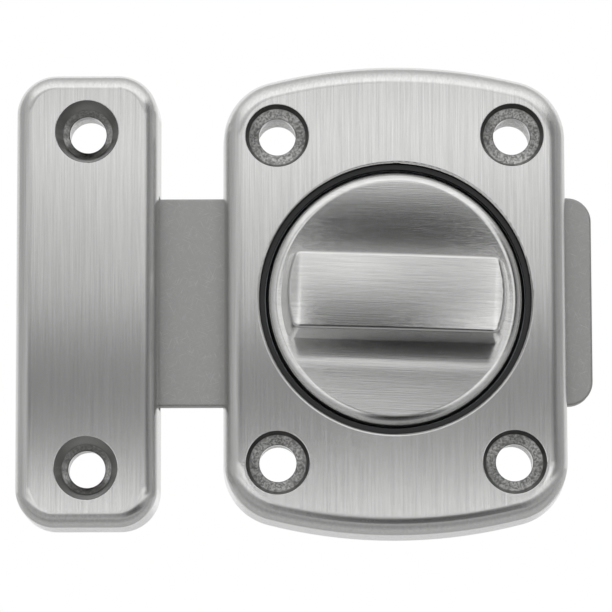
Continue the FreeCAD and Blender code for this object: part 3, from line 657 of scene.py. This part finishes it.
def sheet(name, corners):
    """A flat rectangle of the set through four corners in mm, in order, with an empty material."""
    mesh = bpy.data.meshes.new(name)
    mesh.from_pydata([tuple(MM * size for size in corner) for corner in corners], [], [(0, 1, 2, 3)])
    piece = bpy.data.objects.new(name, mesh)
    bpy.context.scene.collection.objects.link(piece)
    material, tree = new_material(name + "_surface")
    mesh.materials.append(material)
    return piece, tree


floor, surface = sheet("floor", [
    (-FLOOR_REACH, -FLOOR_REACH, FLOOR_LEVEL), (FLOOR_REACH, -FLOOR_REACH, FLOOR_LEVEL),
    (FLOOR_REACH, FLOOR_REACH, FLOOR_LEVEL), (-FLOOR_REACH, FLOOR_REACH, FLOOR_LEVEL),
])
paint = add(surface, "ShaderNodeBsdfPrincipled", {
    "Base Color": linear(FLOOR_GREY), "Roughness": FLOOR_ROUGH,
})
add(surface, "ShaderNodeOutputMaterial", {"Surface": paint.outputs[0]})
print("the", floor.name, "is", -FLOOR_LEVEL, "mm below the latch's middle")

# %% [markdown]
# Each wall of the tent has a row of greys along one of its directions: a place in mm and how
# bright the cloth is there, where 1 is white. Between two places the light is mixed from both. The
# front wall has two rows, one up and one across, which are added. The rows were found by lighting
# one place at a time and mixing those pictures until the metal's tones were right.

# %% The greys of the tent

UP = {
    -88: 0.9, -50: 0.9, -20: 1.1, 0: 1.2, 15: 0.23, 30: 0, 45: 0.07, 60: 0.46, 80: 0.48, 105: 0.85,
    140: 0.38, 190: 0.55, 260: 0.8,
}
ACROSS = {
    -300: 0, -180: 0, -110: 0, -70: 0.4, -40: 0.38, -15: 0.3, 10: 0.55, 35: 0.15, 65: 0.1,
    100: 0.52, 150: 0.36, 220: 0.15, 300: 0,
}
TOP = {-500: 1.2, -350: 1.2, -220: 1.12, -110: 0.9, 0: 0.63, 100: 0.57}
FOOT = {
    -500: 1.1, -350: 1.12, -250: 0.9, -180: 0.6, -130: 0.42, -90: 0.42, -60: 0.47, -30: 0.33,
    0: 0.52, 100: 0.43,
}
LEFT = {-500: 0.7, -350: 0.66, -220: 0.54, -110: 0.43, 0: 0.45, 100: 0.47}
RIGHT = {-500: 0, -350: 0.05, -220: 0.31, -110: 0.41, 0: 0.41, 100: 0.43}
TENT_SIDE = max(ACROSS)
TENT_FOOT, TENT_TOP = min(UP), max(UP)
TENT_FRONT, TENT_BACK = min(TOP), max(TOP)
print("the tent is", 2 * TENT_SIDE, "by", TENT_BACK - TENT_FRONT, "by", TENT_TOP - TENT_FOOT, "mm")

# %% [markdown]
# The flag is a tall dark card in front, where the lens and its stand would be, and a second card
# carries it on along the foot. The knob is brushed level, so it mirrors just this narrow strip and
# gets its dark bands from it. The case is brushed upright and spreads the strip out of sight.

# %% The greys of the flag

FLAG_LEFT = -24
FLAG_RIGHT = 46
FLAG_LIFT = 2
FLAG_UP = {-88: 0, -40: 0, 0: 0.3, 25: 0.25, 48: 0.03}
FLAG_ALONG = {-480: 0, -250: 0, -120: 0.02, -60: 0.15}
FLAG_TOP = max(FLAG_UP)
FLAG_FRONT, FLAG_BACK = min(FLAG_ALONG), max(FLAG_ALONG)
print("the flag is", FLAG_RIGHT - FLAG_LEFT, "mm wide")

# %% [markdown]
# A wall glows, and only reflections show it. Cycles could also aim rays at a wall's light, and
# those would pass through the flag, which casts no shadow. So that is turned off, and only a
# mirrored ray finds a wall, or the flag that stands before it.

# %% Walls and flags


def tent_wall(name, corners, *rows):
    """A wall that only reflections show; each row is an axis and its greys, and rows are added."""
    piece, tree = sheet(name, corners)
    place = add(tree, "ShaderNodeTexCoord").outputs["Object"]
    spot = add(tree, "ShaderNodeSeparateXYZ", {0: place})
    total = 0.0
    for axis, greys in rows:
        light = profile(tree, spot.outputs[axis], {at * MM: grey for at, grey in greys.items()})
        total = add(tree, "ShaderNodeMath", {0: total, 1: light}, operation="ADD").outputs[0]
    glow = add(tree, "ShaderNodeEmission", {"Color": WHITE, "Strength": total})
    add(tree, "ShaderNodeOutputMaterial", {"Surface": glow.outputs[0]})
    piece.active_material.cycles.emission_sampling = "NONE"
    piece.visible_camera = False
    piece.visible_diffuse = False
    piece.visible_shadow = False


def upright_wall(name, left, right, depth, top, *rows):
    """A wall or card that faces the latch from the front and stands on the foot."""
    tent_wall(name, [
        (left, depth, TENT_FOOT), (right, depth, TENT_FOOT), (right, depth, top), (left, depth, top),
    ], *rows)


def level_wall(name, left, right, front, back, height, greys):
    """A wall or card that lies level, its greys running from the front to the back."""
    tent_wall(name, [
        (left, front, height), (right, front, height), (right, back, height), (left, back, height),
    ], ("Y", greys))


def side_wall(name, side, greys):
    """A wall that stands beside the latch, its greys running from the front to the back."""
    tent_wall(name, [
        (side, TENT_FRONT, TENT_FOOT), (side, TENT_BACK, TENT_FOOT),
        (side, TENT_BACK, TENT_TOP), (side, TENT_FRONT, TENT_TOP),
    ], ("Y", greys))


upright_wall("tent_front", -TENT_SIDE, TENT_SIDE, TENT_FRONT, TENT_TOP, ("Z", UP), ("X", ACROSS))
upright_wall("flag", FLAG_LEFT, FLAG_RIGHT, FLAG_FRONT, FLAG_TOP, ("Z", FLAG_UP))
level_wall("flag_foot", FLAG_LEFT, FLAG_RIGHT, FLAG_FRONT, FLAG_BACK, TENT_FOOT + FLAG_LIFT, FLAG_ALONG)
level_wall("tent_top", -TENT_SIDE, TENT_SIDE, TENT_FRONT, TENT_BACK, TENT_TOP, TOP)
level_wall("tent_foot", -TENT_SIDE, TENT_SIDE, TENT_FRONT, TENT_BACK, TENT_FOOT, FOOT)
side_wall("tent_left", -TENT_SIDE, LEFT)
side_wall("tent_right", TENT_SIDE, RIGHT)
set_pieces = [piece.name for piece in bpy.data.objects if piece.name.startswith(("tent", "flag"))]
print("walls and flags:", set_pieces)

# %% [markdown]
# One soft box above the front lights the floor and the black ring. The metal has the tent, so the
# lamp stays out of its reflections.

# %% The soft box

LAMP_PLACE = Vector((0, -0.35, 0.55))
LAMP_WIDTH = 0.6
LAMP_HEIGHT = 0.4
LAMP_POWER = 2.0

lamp = bpy.data.lights.new("box_above", "AREA")
lamp.shape = "RECTANGLE"
lamp.size = LAMP_WIDTH
lamp.size_y = LAMP_HEIGHT
lamp.energy = LAMP_POWER
soft_box = bpy.data.objects.new("box_above", lamp)
soft_box.location = LAMP_PLACE
soft_box.rotation_euler = (-LAMP_PLACE).to_track_quat("-Z", "Y").to_euler()
soft_box.visible_glossy = False
bpy.context.scene.collection.objects.link(soft_box)
print("the soft box stands", round(LAMP_PLACE.length, 2), "m from the latch")

# %% [markdown]
# ## The camera
#
# The picture was taken with a long lens from about half a metre in front, a little below the
# latch and looking up at it: the near faces are shifted upwards against the deep ones. The place
# and the aim were worked out from the six screw holes, whose rims and bores lie at known depths.

# %% Camera

CAMERA_PLACE = Vector((-12.2 * MM, -500 * MM, -58.5 * MM))
CAMERA_TILT = math.radians(6.68)
CAMERA_PAN = math.radians(0.01)
CAMERA_ROLL = math.radians(-0.17)
FOCAL_PIXELS = 3598
PICTURE_PIXELS = 612
SENSOR_WIDTH = 36

lens = bpy.data.cameras.new("camera")
lens.sensor_width = SENSOR_WIDTH
lens.lens = FOCAL_PIXELS / PICTURE_PIXELS * SENSOR_WIDTH
camera = bpy.data.objects.new("camera", lens)
aim = Matrix.Rotation(CAMERA_PAN, 4, "Z") @ Matrix.Rotation(math.pi / 2 + CAMERA_TILT, 4, "X")
camera.matrix_world = Matrix.Translation(CAMERA_PLACE) @ aim @ Matrix.Rotation(CAMERA_ROLL, 4, "Z")
bpy.context.scene.collection.objects.link(camera)
bpy.context.scene.camera = camera
bpy.context.scene.view_settings.view_transform = "Standard"
print("lens of", round(lens.lens), "mm")
